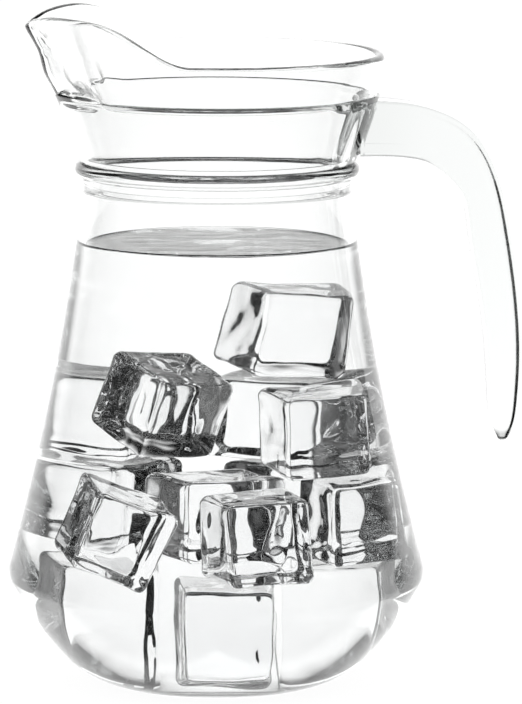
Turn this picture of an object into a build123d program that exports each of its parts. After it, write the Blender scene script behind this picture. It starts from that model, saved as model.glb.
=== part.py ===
from build123d import *
import math
import os

# A pressed and blown glass pitcher with a pulled spout and an open handle, filled
# with water over a pile of clear ice cubes. Millimetres, +Z up, the origin in the
# middle of the foot, the spout towards -X and the handle towards +X.

# Jug body, outside
FOOT_R = 27.5             # where the flat standing ring ends and the heel begins
PUNT_R = 22.5             # the underside is pushed up inside the standing ring
PUNT_RISE = 2.0
HEEL_BEND_R = 31.0        # three tangent arcs lead from the foot round the belly
HEEL_TURN = 47.0
BOWL_BEND_R = 112.0
BOWL_TURN = 15.0
BELLY_BEND_R = 8.5
BELLY_TURN = 43.5
NECK_R = 43.6             # top of the long tapering side
NECK_Z = 164.8
SEAM_STEP = 0.3          # the line left where the blow mould met the neck mould
SEAM_HEIGHT = 0.8
RING_Z = 170.0            # middle of the round ring under the collar
RING_R = 2.5
RING_REACH = 46.4
COLLAR_FOOT_R = 45.4
COLLAR_TOP_R = 52.8
LEDGE_Z = 194.2           # the collar's top, where the inside steps in
# Jug body, inside
WALL = 3.0
FLOOR_Z = 6.0
COLLAR_WALL = 3.6
LEDGE_WIDTH = 1.6
# Rim band and spout
RIM_WALL = 3.2
RIM_Z = 208.0
RIM_ROUND = 1.0
# Each level of the band: height, radius of the round part, reach of the spout, and
# half the spout's width just behind its tip
BAND_LEVELS = (
    (LEDGE_Z - 1.2, 51.4, 51.4, 25.0),
    (LEDGE_Z + 1.0, 52.9, 53.0, 24.0),
    (201.0, 53.6, 56.2, 17.0),
    (209.0, 54.6, 58.6, 8.5),
    (215.5, 54.8, 62.2, 6.0),
    (224.0, 54.8, 66.0, 6.0),
)
FLANK_FROM = 45.0         # angle from -X where the round part gives way to the flank
# The rim's line seen from the side: x and height, from the level part to the tip
RIM_LINE = ((-12.0, RIM_Z), (-30.0, 216.0), (-48.0, 221.6), (-66.0, 212.5))

# Handle, seen from the side: outer edge and inner edge at each station, then width
HANDLE_STATIONS = (
    ((40.0, 193.4), (40.0, 174.8), 27.0),
    ((55.0, 192.6), (55.0, 174.6), 24.5),
    ((66.5, 191.0), (66.0, 173.2), 21.5),
    ((78.0, 186.4), (71.5, 170.3), 20.5),
    ((86.2, 178.4), (77.3, 164.8), 20.0),
    ((91.0, 168.2), (80.4, 160.0), 19.5),
    ((95.0, 152.0), (82.3, 149.2), 19.0),
    ((98.6, 127.5), (86.2, 126.3), 18.0),
    ((99.6, 107.0), (88.5, 106.6), 16.5),
    ((98.9, 94.0), (89.2, 94.0), 14.5),
    ((97.5, 85.5), (90.3, 85.5), 11.5),
)
HANDLE_TIP = ((95.6, 81.2), (92.2, 81.2), 7.0)
HANDLE_ROUND = 0.36       # corner radius as a share of the section's thickness

# Water
WATER_Z = 145.3
WATER_GAP = 0.3           # kept from the glass and from each cube

# Ice cubes, each with its bearing from the handle, its distance from the axis and
# its height, then its turn about the upright, its lean outwards and its tip sideways
CUBE = 29.0
CUBE_EDGE = 2.2
CUBES = (
    (-88, 29.4, 23.5, -2, 0, 0),
    (0, 29.5, 23.6, 0, 0, 0),
    (170, 28.8, 24, 10, 0, 0),
    (88, 29.5, 23.6, 2, 0, 0),
    (-140, 41, 53.5, 144, 22, 4),
    (-75, 38, 53.3, 2, 0, 2),
    (-10, 38, 53.9, 39, 0, 2),
    (56, 38, 53.3, -4, 0, 2),
    (128, 38, 54, 4, 0, -3),
    (90, 2, 53.5, -70, 0, 0),
    (-130, 25, 95, 158, 6, 18),
    (-24, 30, 84, 44, -2, 2),
    (60, 29, 83.6, 8, 0, 2),
    (140, 32.5, 84.8, 2, 0, 0),
    (-6, 19, 116.6, 31, 8, 4),
)


def on_side(face):
    """Stands a face drawn in x and y up into the x and z plane."""
    return Plane.XZ * face


def turned(edges):
    """Turns a closed outline of edges about the jug's own axis."""
    return revolve(on_side(make_face(Wire(edges))), axis=Axis.Z)


def side_arcs(inset):
    """The arcs from the heel to the neck, moved in from the outside by inset."""
    outer_heel = JernArc((FOOT_R, 0), (1, 0), HEEL_BEND_R, HEEL_TURN)
    join = outer_heel @ 1
    way = outer_heel % 1
    if inset:
        turn = math.radians(HEEL_TURN)
        floor = FLOOR_Z + inset - WALL
        join = join + Vector(-way.Y, way.X) * inset
        bend = (join.Y - floor) / (1 - math.cos(turn))
        start = (join.X - bend * math.sin(turn), floor)
        heel = JernArc(start, (1, 0), bend, HEEL_TURN)
    else:
        heel = outer_heel
    bowl = JernArc(heel @ 1, heel % 1, BOWL_BEND_R - inset, BOWL_TURN)
    belly = JernArc(bowl @ 1, bowl % 1, BELLY_BEND_R - inset, BELLY_TURN)
    side = TangentArc([belly @ 1, (NECK_R - inset, NECK_Z)], tangent=belly % 1)
    return [heel, bowl, belly, side]


def outer_body():
    """The outside of everything below the rim band, as one solid."""
    arcs = side_arcs(0)
    seam_r = NECK_R + SEAM_STEP
    seam_top = NECK_Z + SEAM_HEIGHT
    ring_low = RING_Z - RING_R
    ring_high = RING_Z + RING_R
    ring_in = RING_REACH - RING_R
    edges = [
        Line((0, PUNT_RISE), (PUNT_R / 2, PUNT_RISE)),
        Spline([(PUNT_R / 2, PUNT_RISE), (PUNT_R, 0)], tangents=[(1, 0), (1, -0.4)]),
        Line((PUNT_R, 0), (FOOT_R, 0)),
        *arcs,
        Line((NECK_R, NECK_Z), (seam_r, NECK_Z)),
        Line((seam_r, NECK_Z), (seam_r, seam_top)),
        Line((seam_r, seam_top), (ring_in, ring_low)),
        ThreePointArc((ring_in, ring_low), (RING_REACH, RING_Z), (ring_in, ring_high)),
        Line((ring_in, ring_high), (COLLAR_FOOT_R, ring_high)),
        Line((COLLAR_FOOT_R, ring_high), (COLLAR_TOP_R, LEDGE_Z)),
        Line((COLLAR_TOP_R, LEDGE_Z), (0, LEDGE_Z)),
        Line((0, LEDGE_Z), (0, PUNT_RISE)),
    ]
    return turned(edges)


def inside(gap=0.0):
    """The hollow of the jug below the ledge, kept in from the glass by a gap."""
    arcs = side_arcs(WALL + gap)
    floor = FLOOR_Z + gap
    neck_r = NECK_R - WALL - gap
    collar_low = RING_Z + RING_R
    collar_r = COLLAR_FOOT_R - COLLAR_WALL - gap
    ledge_r = COLLAR_TOP_R - RIM_WALL - LEDGE_WIDTH - gap
    edges = [
        Line((0, floor), arcs[0] @ 0),
        *arcs,
        Spline([(neck_r, NECK_Z), (collar_r, collar_low)],
               tangents=[arcs[-1] % 1, (ledge_r - collar_r, LEDGE_Z - collar_low)]),
        Line((collar_r, collar_low), (ledge_r, LEDGE_Z)),
        Line((ledge_r, LEDGE_Z), (0, LEDGE_Z)),
        Line((0, LEDGE_Z), (0, floor)),
    ]
    return turned(edges)


def spout_outline(radius, reach, nose, z):
    """A round outline drawn out towards -X into a pinched nose, at height z."""
    leave = math.radians(FLANK_FROM)
    on_round = (-radius * math.cos(leave), radius * math.sin(leave))
    beside_tip = (nose * 0.5 - reach, nose)
    tip = (-reach, 0)
    far_beside_tip = (beside_tip[0], -beside_tip[1])
    far_round = (on_round[0], -on_round[1])
    front = Spline(
        [on_round, beside_tip, tip, far_beside_tip, far_round],
        tangents=[(-on_round[1], on_round[0]), (-far_round[1], far_round[0])],
    )
    back = ThreePointArc(far_round, (radius, 0), on_round)
    return Pos(0, 0, z) * make_face(Wire([front, back]))


def band_solid(inset):
    """The rim band and spout as a solid drawn through the band's levels."""
    outlines = [
        spout_outline(radius - inset, reach - inset, nose - inset * 0.6, z)
        for z, radius, reach, nose in BAND_LEVELS
    ]
    return loft(outlines)


def above_rim():
    """Everything above the rim's line, to be cut away."""
    far, high = 90.0, 260.0
    line = Spline(RIM_LINE, tangents=[(-1, 0), (-1, -0.9)])
    start, end = RIM_LINE[0], RIM_LINE[-1]
    edges = [
        Line((far, start[1]), start),
        line,
        Line(end, (-far, end[1])),
        Line((-far, end[1]), (-far, high)),
        Line((-far, high), (far, high)),
        Line((far, high), (far, start[1])),
    ]
    return extrude(on_side(make_face(Wire(edges))), amount=far, both=True)


def rim_edges(band, cut):
    """The two edges of the rim, outside and inside, all the way round."""
    sheet = cut.faces()
    marks = (0.1, 0.35, 0.65, 0.9)
    lying = [
        edge for edge in band.edges()
        if all(min(face.distance_to(edge @ t) for face in sheet) < 0.01 for t in marks)
    ]
    return [edge for edge in lying if edge.length > RIM_WALL + 0.5]


def jug_body():
    """The jug in one piece of glass: foot, belly, neck ring, collar, band and spout."""
    cut = above_rim()
    band = band_solid(0) - band_solid(RIM_WALL) - cut
    band = band.fillet(RIM_ROUND, rim_edges(band, cut))
    return outer_body() - inside() + band


def handle_section(outer, inner, width):
    """One section of the handle, square to the line from its inner to its outer edge."""
    outer = Vector(outer[0], 0, outer[1])
    inner = Vector(inner[0], 0, inner[1])
    across = outer - inner
    plane = Plane((outer + inner) * 0.5, x_dir=across, z_dir=across.cross(Vector(0, 1, 0)))
    thick = across.length
    return plane * RectangleRounded(thick, width, thick * HANDLE_ROUND)


def collar_core():
    """A cone that carries on the collar's outer side, up and down past the handle."""
    low, high = RING_Z + RING_R, LEDGE_Z
    slope = (COLLAR_TOP_R - COLLAR_FOOT_R) / (high - low)
    past = 10.0
    foot = COLLAR_FOOT_R - slope * past
    top = COLLAR_TOP_R + slope * past
    height = high - low + 2 * past
    return Pos(0, 0, (low + high) / 2) * Cone(foot, top, height)


def handle():
    """The handle, drawn through its stations and fitted to the collar's side."""
    sections = [handle_section(*station) for station in HANDLE_STATIONS]
    tip = loft([sections[-1], handle_section(*HANDLE_TIP)])
    return loft(sections) + tip - collar_core()


def cube_place(bearing, out, height, turn, lean, tip):
    """Where one ice cube lies in the pile."""
    return Rot(0, 0, bearing) * Pos(out, 0, height) * Rot(0, 0, turn) * Rot(0, lean, 0) * Rot(tip, 0, 0)


def ice_cube(place):
    """One clear ice cube with its edges taken off."""
    block = Box(CUBE, CUBE, CUBE)
    return place * chamfer(block.edges(), CUBE_EDGE)


def water(places):
    """The water up to its level, with room left in it for every cube."""
    size = CUBE + 2 * WATER_GAP
    rooms = [place * Box(size, size, size) for place in places]
    up_to_level = Pos(0, 0, WATER_Z / 2) * Box(200, 200, WATER_Z)
    return (inside(WATER_GAP) & up_to_level) - rooms


def save(shape, name):
    """Writes one piece to its own file."""
    export_step(shape, f"parts/{name}.step")


def main():
    os.makedirs("parts", exist_ok=True)
    places = [cube_place(*pose) for pose in CUBES]
    save(jug_body(), "jug_body")
    save(handle(), "handle")
    save(water(places), "water")
    for number, place in enumerate(places, 1):
        save(ice_cube(place), f"ice_cube_{number:02d}")


main()
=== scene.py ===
import math

import bmesh
import bpy
import numpy as np
from mathutils import Matrix, Vector, noise


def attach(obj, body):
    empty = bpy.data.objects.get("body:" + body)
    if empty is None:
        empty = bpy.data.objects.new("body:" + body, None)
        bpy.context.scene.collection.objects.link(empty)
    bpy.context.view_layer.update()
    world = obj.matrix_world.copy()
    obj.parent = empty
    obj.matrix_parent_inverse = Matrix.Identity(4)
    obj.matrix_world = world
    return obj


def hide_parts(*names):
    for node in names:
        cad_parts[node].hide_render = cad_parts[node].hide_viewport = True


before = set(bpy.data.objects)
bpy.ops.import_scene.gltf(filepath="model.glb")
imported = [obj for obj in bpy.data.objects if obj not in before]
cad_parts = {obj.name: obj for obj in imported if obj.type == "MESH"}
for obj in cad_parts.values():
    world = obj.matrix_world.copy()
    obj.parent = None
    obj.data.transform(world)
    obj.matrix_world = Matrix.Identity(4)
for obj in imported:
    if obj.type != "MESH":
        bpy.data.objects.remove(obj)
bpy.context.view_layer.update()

MM = 0.001
TURN_STEPS = 320          # points round the jug
BAND_STEPS = 40           # rings up the band above the ledge
CENTRE_R = 0.6            # first ring, as close to the axis as the skin needs
EDGE_GAP = 0.05           # between two rings that keep an edge crisp

# Side of the jug in millimetres, as in the solids
FOOT_R = 27.5
PUNT_R = 22.5
PUNT_RISE = 2.0
HEEL = (31.0, 47.0)       # radius and turn of each of the three arcs
BOWL = (112.0, 15.0)
BELLY = (8.5, 43.5)
NECK = (43.6, 164.8)
SEAM_STEP = 0.3
SEAM_HEIGHT = 0.8
RING_Z = 170.0
RING_R = 2.5
RING_REACH = 46.4
RING_TOP_IN = 0.9         # how far the ring's top reaches out to the collar
COLLAR_FOOT_R = 45.4
COLLAR_TOP_R = 52.8
LEDGE_Z = 194.2
WALL = 3.0
FLOOR_Z = 6.0
COLLAR_WALL = 3.6
LEDGE_WIDTH = 2.2         # a little wider than in the solid
RIM_WALL = 3.2
RIM_Z = 208.0
WATER_Z = 145.3
LEDGE_STEP = 2.3          # height over which the ledge inside the collar turns in
WATER_OVERLAP = 0.12      # how far the water's skin reaches into the glass
# Each level of the band: height, radius of the round part, reach of the spout, and half
# the spout's width just behind its tip
BAND_LEVELS = (
    (LEDGE_Z, 52.5, 52.5, 24.5),
    (LEDGE_Z + 1.0, 52.9, 53.0, 24.0),
    (201.0, 53.6, 56.2, 17.0),
    (209.0, 54.6, 58.6, 8.5),
    (215.5, 54.8, 62.2, 6.0),
    (224.0, 54.8, 66.0, 6.0),
)
FLANK_FROM = math.radians(45.0)
FLANK_STEPS = 60
NOSE_INSET = 0.6          # how much of the wall the spout's nose loses inside
SPOUT_LEVEL = 212.0       # height at which the rim's line is read off the band
TIP_KEPT = math.radians(14)      # the spout's tip stays sharp up to here
TIP_BLEND = math.radians(16)     # and its flanks are softened past this much more
SOFTEN_SAMPLES = 1441            # a quarter of a degree apart
SOFTEN_SPREAD = 91
PINCH_DEPTH = 1.1         # unevenness of the glass inside the spout's tip
PINCH_SPREAD = math.radians(9)
PINCH_FROM = 205.0        # height where it starts, and over which it grows
PINCH_GROWS = 4
ROOT_WAVE = 1.5           # unevenness inside the collar beside the handle
ROOT_SPREAD = math.radians(34)
RIM_LINE = ((-12.0, RIM_Z), (-30.0, 216.0), (-48.0, 221.6), (-66.0, 212.5))

# Handle: outer and inner edge seen from the side, then width, at each station
HANDLE_STATIONS = (
    ((46.0, 193.0), (46.0, 174.7), 26.2),
    ((55.0, 192.6), (55.0, 174.6), 24.5),
    ((66.5, 191.0), (66.0, 173.2), 21.5),
    ((78.0, 186.4), (71.5, 170.3), 20.5),
    ((86.2, 178.4), (77.3, 164.8), 20.0),
    ((91.0, 168.2), (80.4, 160.0), 19.5),
    ((95.0, 152.0), (82.3, 149.2), 19.0),
    ((98.6, 127.5), (86.2, 126.3), 18.0),
    ((99.6, 107.0), (88.5, 106.6), 16.5),
    ((98.9, 94.0), (89.2, 94.0), 14.5),
    ((97.5, 85.5), (90.3, 85.5), 11.5),
)
HANDLE_TIP = ((95.6, 81.2), (92.2, 81.2), 7.0)
OUTER_ROUND = 0.36        # corner radii as a share of the section's thickness
INNER_ROUND = 0.2
FRONT_ROUND = 0.12        # the outer edge towards the camera, which the photograph shows dark
# A low ridge beside the inner edge towards the camera: steps away from it, and heights
EDGE_RIDGE = ((0.3, 0.08), (0.55, 0.14), (0.8, 0.14), (1.05, 0.06), (1.4, 0.0))
RIDGE_FULL = 5            # half thickness of the handle at which the ridge has its full size
HANDLE_END = ((0.92, 0.35), (0.75, 0.8), (0.5, 1.15), (0.2, 1.3))   # share of the section, drop
CORNER_STEPS = 9
FACE_CROWN = 0.25         # how far the handle's two sides bulge

# Water: the meniscus by distance in from the glass, and its hold round the jug
MENISCUS = ((0.0, 1.6), (0.3, 1.05), (0.8, 0.6), (1.5, 0.28), (2.6, 0.08), (4.2, 0.0))
HOLD_MEAN = 0.6
HOLD_CHANGE = 0.4         # it stands highest in front and lowest behind
SLOW_RIPPLE = 0.2
QUICK_RIPPLE = 0.11

# Ice cubes: bearing, distance out, height, turn, lean and tip, as in the solids
CUBE = 29.0
CUBE_CUTS = 30
CUBE_ROUND = 3.4
CUBE_INSET = 0.2          # how far a face lies in from the solid's
CUBE_SUNK = 0.7           # how much further its middle sinks
CUBE_WAVE = 0.7           # and how high its waves are
CORNER_PULL = 1.0         # how far a cube's corners may be drawn in
CUBES = (
    (-88, 29.4, 23.5, -2, 0, 0),
    (0, 29.5, 23.6, 0, 0, 0),
    (170, 28.8, 24, 10, 0, 0),
    (88, 29.5, 23.6, 2, 0, 0),
    (-140, 41, 53.5, 144, 22, 4),
    (-75, 38, 53.3, 2, 0, 2),
    (-10, 38, 53.9, 39, 0, 2),
    (56, 38, 53.3, -4, 0, 2),
    (128, 38, 54, 4, 0, -3),
    (90, 2, 53.5, -70, 0, 0),
    (-130, 25, 95, 158, 6, 18),
    (-24, 30, 84, 44, -2, 2),
    (60, 29, 83.6, 8, 0, 2),
    (140, 32.5, 84.8, 2, 0, 0),
    (-6, 19, 116.6, 31, 8, 4),
)

# Camera: where it aims, how far off it stands and how it is turned
CAMERA_AIM = Vector((0.0, 0.0, 0.105))
CAMERA_DISTANCE = 2.124
CAMERA_AZIMUTH = -3.7
CAMERA_ELEVATION = 8.3
CAMERA_LENS = 331.7
CAMERA_ROLL = 0.2
AIM_RIGHT = 0.01448
AIM_UP = 0.00444

# Studio as the glass sees it. Each pair is where a part of the light starts to fade and
# where it is gone: the first two by how far a level direction points back to the camera,
# the last two by how far a direction rises
TENT_RADIUS = 8.0
TENT_WALL = 1.37          # brightness of the wall behind the pitcher
WALL_NEAR = (-0.72, -0.5)
WALL_FAR = (-0.35, 0.0)
SIDE_SHARE = 0.12         # share of the wall's brightness that its far sides keep
WALL_TOP = (0.47, 0.86)
WALL_FOOT = (-0.3, -0.5)
FLOOR_SHARE = 0.94        # brightness under the wall's foot, as a share of the wall's
TENT_ROOM = 0.01          # brightness of the dark room round it
FLOOR_HALF = 14.0
FLOOR_GLOW = 0.97

# Materials: refraction, tint, then scale and strength of the waves, and depth tint
JUG_GLASS = (1.5, (0.996, 0.998, 0.997), 22.0, 0.05, 14.0)
HANDLE_GLASS = (1.5, (0.975, 0.98, 0.977), 40.0, 0.06, 12.0)
STILL_WATER = (1.333, (0.998, 0.999, 1.0), 60.0, 0.01, 0.0)
CLEAR_ICE = (1.32, (0.99, 0.992, 0.995), 90.0, 0.2, 0.0)
TINT_LOW = 0.985          # how far the tint falls where the waves are low


def arc_points(start, heading, radius, turn, steps):
    """Points along an arc that turns left from a heading; returns them and the new heading."""
    x, z = start
    points = []
    for i in range(1, steps + 1):
        a = heading + math.radians(turn) * i / steps
        points.append((x + radius * (math.sin(a) - math.sin(heading)),
                       z + radius * (math.cos(heading) - math.cos(a))))
    return points, heading + math.radians(turn)


def closing_arc(start, heading, end, steps):
    """Points along the arc that leaves start on a heading and ends at a given point."""
    chord = complex(end[0] - start[0], end[1] - start[1])
    way = complex(math.cos(heading), math.sin(heading))
    half = math.atan2((chord / way).imag, (chord / way).real)
    radius = abs(chord) / (2 * math.sin(half))
    return arc_points(start, heading, radius, math.degrees(2 * half), steps)


def side_points(inset):
    """The side from the heel to the neck, moved in from the outside by inset."""
    outer, heading = arc_points((FOOT_R, 0), 0.0, HEEL[0], HEEL[1], 1)
    if inset:
        join = (outer[0][0] - inset * math.sin(heading), outer[0][1] + inset * math.cos(heading))
        floor = FLOOR_Z + inset - WALL
        bend = (join[1] - floor) / (1 - math.cos(heading))
        start = (join[0] - bend * math.sin(heading), floor)
    else:
        bend, start = HEEL[0], (FOOT_R, 0)
    points = [start]
    heading = 0.0
    arcs = ((bend, HEEL[1], 14), (BOWL[0] - inset, BOWL[1], 10), (BELLY[0] - inset, BELLY[1], 12))
    for radius, turn, steps in arcs:
        more, heading = arc_points(points[-1], heading, radius, turn, steps)
        points += more
    more, heading = closing_arc(points[-1], heading, (NECK[0] - inset, NECK[1]), 46)
    return points + more


def cubic_through(points, start_way, end_way, steps):
    """A smooth curve through points with given directions at its two ends."""
    p = np.array(points, float)
    n = len(p)
    chord = np.linalg.norm(np.diff(p, axis=0), axis=1)
    m = np.zeros((n, n))
    rhs = np.zeros((n, p.shape[1]))
    m[0, 0] = m[-1, -1] = 1
    rhs[0] = np.array(start_way) / np.linalg.norm(start_way)
    rhs[-1] = np.array(end_way) / np.linalg.norm(end_way)
    for i in range(1, n - 1):
        a, b = chord[i - 1], chord[i]
        m[i, i - 1], m[i, i], m[i, i + 1] = 1 / a, 2 / a + 2 / b, 1 / b
        rhs[i] = 3 * ((p[i] - p[i - 1]) / a**2 + (p[i + 1] - p[i]) / b**2)
    t = np.linalg.solve(m, rhs)
    out = []
    for i in range(n - 1):
        s = np.linspace(0, 1, steps, endpoint=(i == n - 2))[:, None]
        h = chord[i]
        out.append((2 * s**3 - 3 * s**2 + 1) * p[i] + (s**3 - 2 * s**2 + s) * h * t[i]
                   + (-2 * s**3 + 3 * s**2) * p[i + 1] + (s**3 - s**2) * h * t[i + 1])
    return np.vstack(out)


def polar_outline(radius, reach, nose):
    """Distance from the axis by angle from -X, of a round outline drawn out to a spout."""
    on_round = (-radius * math.cos(FLANK_FROM), radius * math.sin(FLANK_FROM))
    beside = (nose * 0.5 - reach, nose)
    front = cubic_through(
        [on_round, beside, (-reach, 0), (beside[0], -beside[1]), (on_round[0], -on_round[1])],
        (-on_round[1], on_round[0]), (on_round[1], on_round[0] * -1), FLANK_STEPS)
    angle = np.arctan2(front[:, 1], -front[:, 0])
    order = np.argsort(angle)
    return angle[order], np.hypot(front[:, 0], front[:, 1])[order]


def band_radius(angles, z, inset):
    """How far the band stands from the axis at each angle from -X, at height z."""
    levels = np.array([level[0] for level in BAND_LEVELS])
    tables = []
    for _, radius, reach, nose in BAND_LEVELS:
        a, r = polar_outline(radius - inset, reach - inset, nose - inset * NOSE_INSET)
        inside_flank = np.abs(angles) < FLANK_FROM
        tables.append(np.where(inside_flank, np.interp(angles, a, r), radius - inset))
    return smooth_rows(levels, soften_flanks(angles, np.array(tables)), z)


def soften_flanks(angles, tables):
    """Evens out the bend where the spout's flanks leave the round, and keeps the tip sharp."""
    even = np.linspace(-math.pi, math.pi, SOFTEN_SAMPLES)
    kernel = np.hanning(SOFTEN_SPREAD)
    kernel /= kernel.sum()
    past = SOFTEN_SPREAD // 2 + 1
    away = np.clip((np.abs(angles) - TIP_KEPT) / TIP_BLEND, 0, 1)
    away = away * away * (3 - 2 * away)
    out = []
    for row in tables:
        full = np.interp(even, angles, row, period=2 * math.pi)
        wrapped = np.concatenate([full[-past:-1], full, full[1:past]])
        soft = np.convolve(wrapped, kernel, mode="valid")
        out.append(row + (np.interp(angles, even, soft) - row) * away)
    return np.array(out)


def smooth_rows(levels, tables, z):
    """Reads a value between levels along a smooth curve, one height per column."""
    z = np.broadcast_to(z, tables.shape[1:])
    slopes = np.gradient(tables, levels, axis=0)
    k = np.clip(np.searchsorted(levels, z, side="right") - 1, 0, len(levels) - 2)
    cols = np.arange(tables.shape[1])
    h = levels[k + 1] - levels[k]
    s = np.clip((z - levels[k]) / h, 0, 1)
    return ((2 * s**3 - 3 * s**2 + 1) * tables[k, cols] + (s**3 - 2 * s**2 + s) * h * slopes[k, cols]
            + (-2 * s**3 + 3 * s**2) * tables[k + 1, cols] + (s**3 - s**2) * h * slopes[k + 1, cols])


def rim_height(x):
    """Height of the rim's top at each x, level behind and rising into the spout."""
    line = cubic_through(RIM_LINE, (-1, 0), (-1, -0.9), 40)
    order = np.argsort(line[:, 0])
    return np.where(x > RIM_LINE[0][0], RIM_Z, np.interp(x, line[order, 0], line[order, 1]))


def add_piece(mesh):
    """Puts a smoothly shaded piece into the scene."""
    for polygon in mesh.polygons:
        polygon.use_smooth = True
    obj = bpy.data.objects.new(mesh.name, mesh)
    bpy.context.scene.collection.objects.link(obj)
    return obj


def grid_mesh(name, rows):
    """A closed skin through rings of points, the first and last ring closed to a point."""
    rows = [np.asarray(row, float) * MM for row in rows]
    count = len(rows[0])
    verts = [tuple(v) for row in rows for v in row]
    faces = []
    for i in range(len(rows) - 1):
        for j in range(count):
            k = (j + 1) % count
            faces.append((i * count + j, i * count + k, (i + 1) * count + k, (i + 1) * count + j))
    first, last = len(verts), len(verts) + 1
    verts.append(tuple(rows[0].mean(0)))
    verts.append(tuple(rows[-1].mean(0)))
    base = (len(rows) - 1) * count
    for j in range(count):
        k = (j + 1) % count
        faces.append((first, k, j))
        faces.append((last, base + j, base + k))
    mesh = bpy.data.meshes.new(name)
    mesh.from_pydata(verts, [], faces)
    mesh.validate()
    obj = add_piece(mesh)
    bm = bmesh.new()
    bm.from_mesh(mesh)
    bmesh.ops.recalc_face_normals(bm, faces=bm.faces)
    bm.to_mesh(mesh)
    bm.free()
    return obj


def ring(radius, z, angles):
    """One ring of points: radius and height may vary with the angle from -X."""
    radius = np.broadcast_to(radius, angles.shape)
    z = np.broadcast_to(z, angles.shape)
    return np.stack([-radius * np.cos(angles), radius * np.sin(angles), z], 1)


def spread_angles(steps):
    """Angles from -X, closer together in the spout than round the back."""
    t = np.linspace(-math.pi, math.pi, steps, endpoint=False)
    return t - 0.55 * np.sin(t)


def jug_profile_outside():
    """Rings below the band on the outside: radius and height, with doubled points at edges."""
    points = [(CENTRE_R, PUNT_RISE), (PUNT_R * 0.5, PUNT_RISE)]
    for s in (0.15, 0.3, 0.45, 0.6, 0.75, 0.9, 1.0):
        points.append((PUNT_R * (0.5 + 0.5 * s), PUNT_RISE * (1 - s * s * (3 - 2 * s))))
    points += side_points(0)
    seam_r = NECK[0] + SEAM_STEP
    ring_in = RING_REACH - RING_R
    points += [
        (seam_r, NECK[1] + EDGE_GAP),
        (seam_r, NECK[1] + SEAM_HEIGHT),
        (ring_in, RING_Z - RING_R - EDGE_GAP),
    ]
    points += [
        (ring_in + RING_R * math.cos(a), RING_Z + RING_R * math.sin(a))
        for a in np.radians(np.linspace(-90, 90, 13))
    ]
    low = RING_Z + RING_R
    points += [(ring_in + RING_TOP_IN, low + EDGE_GAP)]
    for s in np.linspace(0.02, 1.0, 14):
        points.append((COLLAR_FOOT_R + (COLLAR_TOP_R - COLLAR_FOOT_R) * s, low + (LEDGE_Z - low) * s))
    return points


def jug_profile_inside():
    """Rings below the band on the inside, from the ledge down to the floor."""
    side = side_points(WALL)
    neck = side[-1]
    collar = (COLLAR_FOOT_R - COLLAR_WALL, RING_Z + RING_R)
    ledge = (COLLAR_TOP_R - RIM_WALL - LEDGE_WIDTH, LEDGE_Z)
    shoulder = cubic_through(
        [neck, collar], (side[-1][0] - side[-2][0], side[-1][1] - side[-2][1]),
        (ledge[0] - collar[0], ledge[1] - collar[1]), 8)
    share = (LEDGE_Z - LEDGE_STEP / 2 - collar[1]) / (ledge[1] - collar[1])
    up = [(collar[0] + (ledge[0] - collar[0]) * s, collar[1] + (ledge[1] - collar[1]) * s)
          for s in np.linspace(0.1, share, 12)]
    floor = [(CENTRE_R, FLOOR_Z), (side[0][0] * 0.5, FLOOR_Z)]
    return floor + side + [tuple(p) for p in shoulder[1:]] + up


def pinch(angles, z):
    """Uneven thickness of the glass inside the spout's pinched tip, in millimetres."""
    near_tip = np.exp(-(angles / PINCH_SPREAD) ** 2)
    near_tip = near_tip * np.clip((np.asarray(z) - PINCH_FROM) / PINCH_GROWS, 0, 1)
    spots = []
    for a, h in zip(angles, np.broadcast_to(z, angles.shape)):
        slow = noise.noise(Vector((a * 9, h * 0.16, 5.3)))
        quick = noise.noise(Vector((a * 20, h * 0.4, 2.2)))
        spots.append(slow + 0.4 * quick)
    return near_tip * np.array(spots) * PINCH_DEPTH


def root_waves(angles, z):
    """Upright waves inside the collar, beside the handle's root, in millimetres."""
    from_handle = math.pi - np.abs(angles)
    near = np.exp(-(from_handle / ROOT_SPREAD) ** 2)
    way_up = min(max((z - RING_Z) / (LEDGE_Z - RING_Z), 0), 1)
    height = math.sin(math.pi * way_up) ** 0.5 if z > RING_Z else 0.0
    waves = [noise.noise(Vector((math.cos(a) * 7, math.sin(a) * 7, z * 0.035 + 1.7))) for a in angles]
    return near * height * np.array(waves) * ROOT_WAVE


def make_jug():
    """The glass jug as one skin: outside, over the rim and down the inside."""
    angles = spread_angles(TURN_STEPS)
    rows = [ring(r, z, angles) for r, z in jug_profile_outside()]
    x_mid = -band_radius(angles, SPOUT_LEVEL, RIM_WALL / 2) * np.cos(angles)
    top = rim_height(x_mid)
    half = RIM_WALL / 2
    for s in np.linspace(0.0, 1.0, BAND_STEPS):
        z = LEDGE_Z + (top - half - LEDGE_Z) * s
        rows.append(ring(band_radius(angles, z, 0.0), z, angles))
    for a in np.radians(np.linspace(15, 165, 11)):
        z = top - half + half * math.sin(a)
        inset = half - half * math.cos(a)
        rows.append(ring(band_radius(angles, top - half, inset), z, angles))
    low = LEDGE_Z + LEDGE_STEP / 2
    for s in np.linspace(1.0, 0.0, BAND_STEPS):
        z = low + (top - half - low) * s
        calm = math.sin(math.pi * s) ** 0.5 if 0 < s < 1 else 0.0
        rows.append(ring(band_radius(angles, z, RIM_WALL) + pinch(angles, z) * calm, z, angles))
    inside = jug_profile_inside()
    above, below = band_radius(angles, low, RIM_WALL), inside[-1][0]
    for s in np.linspace(0.08, 0.92, 11):
        slant = 0.75 * s + 0.25 * s * s * (3 - 2 * s)
        rows.append(ring(above + (below - above) * slant, low - LEDGE_STEP * s, angles))
    rows += [ring(r + root_waves(angles, z), z, angles) for r, z in reversed(inside)]
    return grid_mesh("pitcher_glass", rows)


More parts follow.
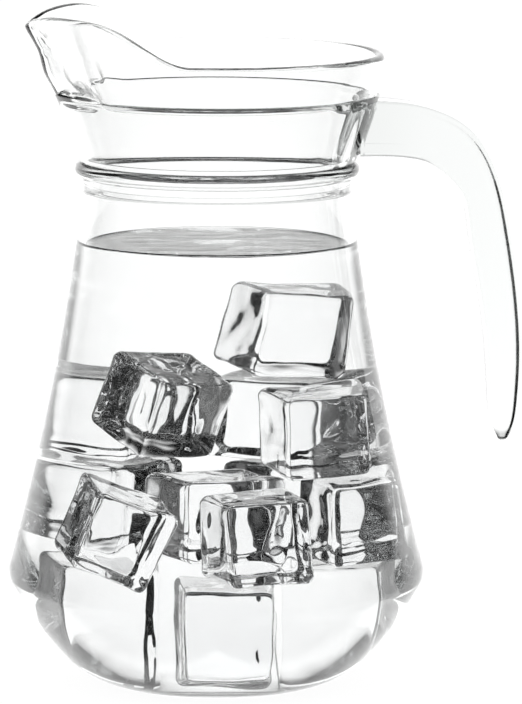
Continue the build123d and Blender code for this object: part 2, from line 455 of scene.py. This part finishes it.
def make_water():
    """The water, its skin just inside the glass, with a meniscus that stands highest in front."""
    angles = np.linspace(-math.pi, math.pi, TURN_STEPS, endpoint=False)
    side = [p for p in side_points(WALL - WATER_OVERLAP) if p[1] < WATER_Z + 1.0]
    edge_r = side[-1][0]
    rows = [ring(CENTRE_R, side[0][1], angles), ring(side[0][0] * 0.5, side[0][1], angles)]
    rows += [ring(r, z, angles) for r, z in side]
    hold = HOLD_MEAN - HOLD_CHANGE * np.sin(angles)
    for back, rise in MENISCUS:
        rows.append(ring(edge_r - back, WATER_Z + rise * hold, angles))
    for share in np.linspace(0.88, 0.02, 34):
        row = ring(edge_r * share, WATER_Z, angles)
        calm = min(1.0, (0.9 - share) * 8)
        row[:, 2] += [calm * ripple(x, y) for x, y, _ in row]
        rows.append(row)
    return grid_mesh("pitcher_water", rows)


def ripple(x, y):
    """How far the water's face stands up at one place, in millimetres."""
    slow = noise.noise(Vector((x * 0.055, y * 0.11, 3.1)))
    quick = noise.noise(Vector((x * 0.16, y * 0.3, 8.4)))
    return slow * SLOW_RIPPLE + quick * QUICK_RIPPLE


def handle_outline(outer, inner, width):
    """One section of the handle: a bar with rounded edges, the outer front one the tightest."""
    outer, inner = np.array(outer, float), np.array(inner, float)
    centre, across = (outer + inner) / 2, (outer - inner) / 2
    half_t, half_w = np.linalg.norm(across), width / 2
    points = []
    corners = (
        (1, 1, OUTER_ROUND),
        (-1, 1, INNER_ROUND),
        (-1, -1, INNER_ROUND),
        (1, -1, FRONT_ROUND),
    )
    for number, (u, v, share) in enumerate(corners):
        r = min(share * 2 * half_t, half_w * 0.95)
        for step in range(CORNER_STEPS + 1):
            a = math.radians(90 * number + 90 * step / CORNER_STEPS)
            points.append((u * (half_t - r) + r * math.cos(a), v * (half_w - r) + r * math.sin(a)))
        if (u, v) == (-1, -1):
            size = min(1.0, half_t / RIDGE_FULL)
            points += [(r - half_t + step * size, -half_w - height * size) for step, height in EDGE_RIDGE]
    t, w = np.array(points).T
    crown = FACE_CROWN * (1 - (t / half_t) ** 2)
    w = w + np.sign(w) * crown * np.clip(np.abs(w) / half_w, 0, 1) ** 4
    unit = across / half_t
    return np.stack([centre[0] + unit[0] * t, w, centre[1] + unit[1] * t], 1)


def make_handle():
    """The handle as a smooth bar through its stations, rounded at its lower end."""
    stations = np.array([[*o, *i, w] for o, i, w in HANDLE_STATIONS + (HANDLE_TIP,)], float)
    path = cubic_through(stations, stations[1] - stations[0], stations[-1] - stations[-2], 10)
    rows = [handle_outline(p[0:2], p[2:4], p[4]) for p in path]
    end = path[-1]
    mid = (end[0:2] + end[2:4]) / 2
    for share, drop in HANDLE_END:
        shift = np.array([0, -drop])
        rows.append(handle_outline(mid + (end[0:2] - mid) * share + shift,
                                   mid + (end[2:4] - mid) * share + shift, end[4] * share))
    return grid_mesh("handle_glass", rows)


def cube_matrix(bearing, out, height, turn, lean, tip):
    """Where one ice cube lies, as its solid does."""
    def spin(angle, axis):
        return Matrix.Rotation(math.radians(angle), 4, axis)
    shift = Matrix.Translation(Vector((out, 0, height)) * MM)
    return spin(bearing, "Z") @ shift @ spin(turn, "Z") @ spin(lean, "Y") @ spin(tip, "X")


def corner_pulls(seed):
    """How far each corner of one cube is drawn in, so that no two cubes are alike."""
    pulls = {}
    for u in (-1, 1):
        for v in (-1, 1):
            for w in (-1, 1):
                spot = Vector((u, v, w)) * 1.37 + seed
                steps = [Vector((9.1 * k, 4.7 * k, 0)) for k in (1, 2, 3)]
                draw = [max(0.0, 0.45 + 1.6 * noise.noise(spot + step)) for step in steps]
                pulls[u, v, w] = Vector((-u * draw[0], -v * draw[1], -w * draw[2])) * CORNER_PULL * MM
    return pulls


def warp(place, pulls):
    """The pull of the eight corners at one place in the cube, from -1 to 1 each way."""
    total = Vector((0, 0, 0))
    for (u, v, w), pull in pulls.items():
        share = (1 + u * place.x) * (1 + v * place.y) * (1 + w * place.z) / 8
        total += pull * share
    return total


def make_cube(number, pose):
    """One clear cube: soft edges, slightly sunken and wavy faces."""
    half = CUBE / 2 * MM
    round_r = CUBE_ROUND * MM
    bm = bmesh.new()
    bmesh.ops.create_cube(bm, size=2.0)
    bmesh.ops.subdivide_edges(bm, edges=bm.edges[:], cuts=CUBE_CUTS, use_grid_fill=True)
    seed = Vector((number * 7.3, number * 3.1, number * 1.7))
    pull = corner_pulls(seed)
    for vert in bm.verts:
        place = vert.co.copy()
        p = vert.co * half
        core = Vector([max(round_r - half, min(half - round_r, c)) for c in p])
        away = (p - core).normalized()
        low, middle, _ = sorted(abs(c) / half for c in p)
        sunk = (1 - low**2) * (1 - middle**4)
        wave = noise.noise(p * 62 + seed) + 0.35 * noise.noise(p * 150 + seed)
        p = core + away * (round_r - (CUBE_INSET + sunk * CUBE_SUNK - wave * CUBE_WAVE) * MM)
        vert.co = p + warp(place, pull)
    mesh = bpy.data.meshes.new(f"clear_cube_{number:02d}")
    bm.to_mesh(mesh)
    bm.free()
    mesh.transform(cube_matrix(*pose))
    return add_piece(mesh)


def clear_material(name, ior, tint, wave_scale, wave_strength, depth_tint):
    """A clear material with slow waves in its surface, darker where one looks through more of it."""
    material = bpy.data.materials.new(name)
    material.use_nodes = True
    nodes, links = material.node_tree.nodes, material.node_tree.links
    shader = nodes["Principled BSDF"]
    shader.inputs["Transmission Weight"].default_value = 1.0
    shader.inputs["IOR"].default_value = ior
    shader.inputs["Roughness"].default_value = 0.0
    coords = nodes.new("ShaderNodeTexCoord")
    waves = nodes.new("ShaderNodeTexNoise")
    waves.inputs["Scale"].default_value = wave_scale
    waves.inputs["Detail"].default_value = 1.5
    bump = nodes.new("ShaderNodeBump")
    bump.inputs["Strength"].default_value = wave_strength
    bump.inputs["Distance"].default_value = 0.001
    ramp = nodes.new("ShaderNodeValToRGB")
    ramp.color_ramp.elements[0].color = (*[c * TINT_LOW for c in tint], 1)
    ramp.color_ramp.elements[1].color = (*tint, 1)
    links.new(coords.outputs["Object"], waves.inputs["Vector"])
    links.new(waves.outputs["Fac"], bump.inputs["Height"])
    links.new(waves.outputs["Fac"], ramp.inputs["Fac"])
    links.new(ramp.outputs["Color"], shader.inputs["Base Color"])
    links.new(bump.outputs["Normal"], shader.inputs["Normal"])
    if depth_tint:
        depth = nodes.new("ShaderNodeVolumeAbsorption")
        depth.inputs["Color"].default_value = (0.0, 0.04, 0.02, 1)
        depth.inputs["Density"].default_value = depth_tint
        links.new(depth.outputs["Volume"], nodes["Material Output"].inputs["Volume"])
    return material


def dress(obj, material, body, slot, *nodes):
    """Gives a piece its material and body, and hides the solids that it stands for; slot is not used."""
    obj.data.materials.clear()
    obj.data.materials.append(material)
    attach(obj, body)
    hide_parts(*nodes)


def make_camera():
    """The camera at the photograph's place."""
    a, e = math.radians(CAMERA_AZIMUTH), math.radians(CAMERA_ELEVATION)
    back = Vector((math.sin(a) * math.cos(e), -math.cos(a) * math.cos(e), math.sin(e)))
    data = bpy.data.cameras.new("camera")
    data.lens = CAMERA_LENS
    data.clip_end = 60
    camera = bpy.data.objects.new("camera", data)
    bpy.context.scene.collection.objects.link(camera)
    right = Vector((math.cos(a), math.sin(a), 0))
    up = right.cross(-back)
    place = CAMERA_AIM + back * CAMERA_DISTANCE
    aim = CAMERA_AIM + right * AIM_RIGHT + up * AIM_UP
    turn = (aim - place).to_track_quat("-Z", "Y").to_matrix().to_4x4()
    roll = Matrix.Rotation(math.radians(CAMERA_ROLL), 4, "Z")
    camera.matrix_world = Matrix.Translation(place) @ turn @ roll
    bpy.context.scene.camera = camera
    return camera


def make_floor():
    """A plain white floor that goes on far behind the pitcher."""
    mesh = bpy.data.meshes.new("floor")
    corners = [(u * FLOOR_HALF, v * FLOOR_HALF, 0) for u, v in ((-1, -1), (1, -1), (1, 1), (-1, 1))]
    mesh.from_pydata(corners, [], [(0, 1, 2, 3)])
    floor = bpy.data.objects.new("floor", mesh)
    bpy.context.scene.collection.objects.link(floor)
    material = bpy.data.materials.new("white_floor")
    material.use_nodes = True
    shader = material.node_tree.nodes["Principled BSDF"]
    shader.inputs["Base Color"].default_value = (0.08, 0.08, 0.08, 1)
    shader.inputs["Roughness"].default_value = 0.9
    shader.inputs["Specular IOR Level"].default_value = 0.0
    shader.inputs["Emission Color"].default_value = (1, 1, 1, 1)
    shader.inputs["Emission Strength"].default_value = FLOOR_GLOW
    mesh.materials.append(material)
    floor.visible_transmission = False
    floor.visible_glossy = False


def fade(nodes, links, value, bright_to, dark_from):
    """A soft step that is one up to one value and nothing from another."""
    step = nodes.new("ShaderNodeMapRange")
    step.interpolation_type = "SMOOTHSTEP"
    step.inputs["From Min"].default_value = bright_to
    step.inputs["From Max"].default_value = dark_from
    step.inputs["To Min"].default_value = 1.0
    step.inputs["To Max"].default_value = 0.0
    links.new(value, step.inputs["Value"])
    return step.outputs["Result"]


def joined(nodes, links, operation, first, second):
    """Two values added or multiplied; the second may be a plain number."""
    node = nodes.new("ShaderNodeMath")
    node.operation = operation
    links.new(first, node.inputs[0])
    if isinstance(second, float):
        node.inputs[1].default_value = second
    else:
        links.new(second, node.inputs[1])
    return node.outputs["Value"]


def directions(nodes, links):
    """How far each direction in the studio points back to the camera, and how far it rises."""
    coords = nodes.new("ShaderNodeTexCoord")
    split = nodes.new("ShaderNodeSeparateXYZ")
    flat = nodes.new("ShaderNodeCombineXYZ")
    level = nodes.new("ShaderNodeVectorMath")
    level.operation = "NORMALIZE"
    unit = nodes.new("ShaderNodeVectorMath")
    unit.operation = "NORMALIZE"
    round_split = nodes.new("ShaderNodeSeparateXYZ")
    level_split = nodes.new("ShaderNodeSeparateXYZ")
    links.new(coords.outputs["Object"], split.inputs["Vector"])
    links.new(split.outputs["X"], flat.inputs["X"])
    links.new(split.outputs["Z"], flat.inputs["Z"])
    links.new(flat.outputs["Vector"], level.inputs[0])
    links.new(coords.outputs["Object"], unit.inputs[0])
    links.new(level.outputs["Vector"], level_split.inputs["Vector"])
    links.new(unit.outputs["Vector"], round_split.inputs["Vector"])
    return level_split.outputs["Z"], round_split.outputs["Y"]


def wall_light(nodes, links):
    """Brightness by direction, as a share of the wall's, without the dark room."""
    ahead, upward = directions(nodes, links)
    near = joined(nodes, links, "MULTIPLY", fade(nodes, links, ahead, *WALL_NEAR), 1.0 - SIDE_SHARE)
    wide = joined(nodes, links, "MULTIPLY", fade(nodes, links, ahead, *WALL_FAR), SIDE_SHARE)
    wall = joined(nodes, links, "ADD", near, wide)
    lit = joined(nodes, links, "MULTIPLY", wall, fade(nodes, links, upward, *WALL_TOP))
    dim = joined(nodes, links, "MULTIPLY", fade(nodes, links, upward, *WALL_FOOT), 1.0 - FLOOR_SHARE)
    return joined(nodes, links, "MULTIPLY", lit, joined(nodes, links, "ADD", dim, FLOOR_SHARE))


def tent_material():
    """Light that depends only on the direction in the studio."""
    material = bpy.data.materials.new("studio_tent")
    material.use_nodes = True
    nodes, links = material.node_tree.nodes, material.node_tree.links
    nodes.clear()
    out = nodes.new("ShaderNodeOutputMaterial")
    emission = nodes.new("ShaderNodeEmission")
    total = nodes.new("ShaderNodeMath")
    total.operation = "MULTIPLY_ADD"
    total.inputs[1].default_value = TENT_WALL
    total.inputs[2].default_value = TENT_ROOM
    links.new(wall_light(nodes, links), total.inputs[0])
    links.new(total.outputs["Value"], emission.inputs["Strength"])
    links.new(emission.outputs["Emission"], out.inputs["Surface"])
    return material


def make_tent(camera):
    """The studio round the pitcher as the glass sees it: a white wall behind, dark sides."""
    bpy.ops.mesh.primitive_uv_sphere_add(segments=64, ring_count=32, radius=TENT_RADIUS)
    tent = bpy.context.object
    tent.name = "studio_tent"
    tent.parent = camera
    tent.location = (0, 0, -CAMERA_DISTANCE)
    tent.visible_camera = False
    tent.visible_diffuse = False
    tent.visible_shadow = False
    tent.visible_volume_scatter = False
    tent.data.materials.append(tent_material())


def make_world():
    """An even white surround, and enough bounces for light to pass through the pile."""
    world = bpy.data.worlds.new("white")
    bpy.context.scene.world = world
    world.use_nodes = True
    world.node_tree.nodes["Background"].inputs["Color"].default_value = (1, 1, 1, 1)
    world.node_tree.nodes["Background"].inputs["Strength"].default_value = 1.0
    scene = bpy.context.scene
    scene.view_settings.view_transform = "Standard"
    scene.cycles.max_bounces = 40
    scene.cycles.transmission_bounces = 40
    scene.cycles.glossy_bounces = 12
    scene.cycles.use_denoising = True


def main():
    """Builds the dressed pitcher, its pile of cubes and the studio."""
    glass = clear_material("pitcher_glass", *JUG_GLASS)
    handle_glass = clear_material("handle_glass", *HANDLE_GLASS)
    water = clear_material("still_water", *STILL_WATER)
    ice = clear_material("clear_ice", *CLEAR_ICE)
    dress(make_jug(), glass, "jug", "jug_glass", "jug_body")
    dress(make_handle(), handle_glass, "jug", "handle_glass", "handle")
    dress(make_water(), water, "jug", "water", "water")
    bodies = {"ice_cube_15": "top_cube", "ice_cube_11": "side_cube"}
    for number, pose in enumerate(CUBES, 1):
        node = f"ice_cube_{number:02d}"
        dress(make_cube(number, pose), ice, bodies.get(node, "jug"), "ice", node)
    camera = make_camera()
    make_floor()
    make_tent(camera)
    make_world()


main()
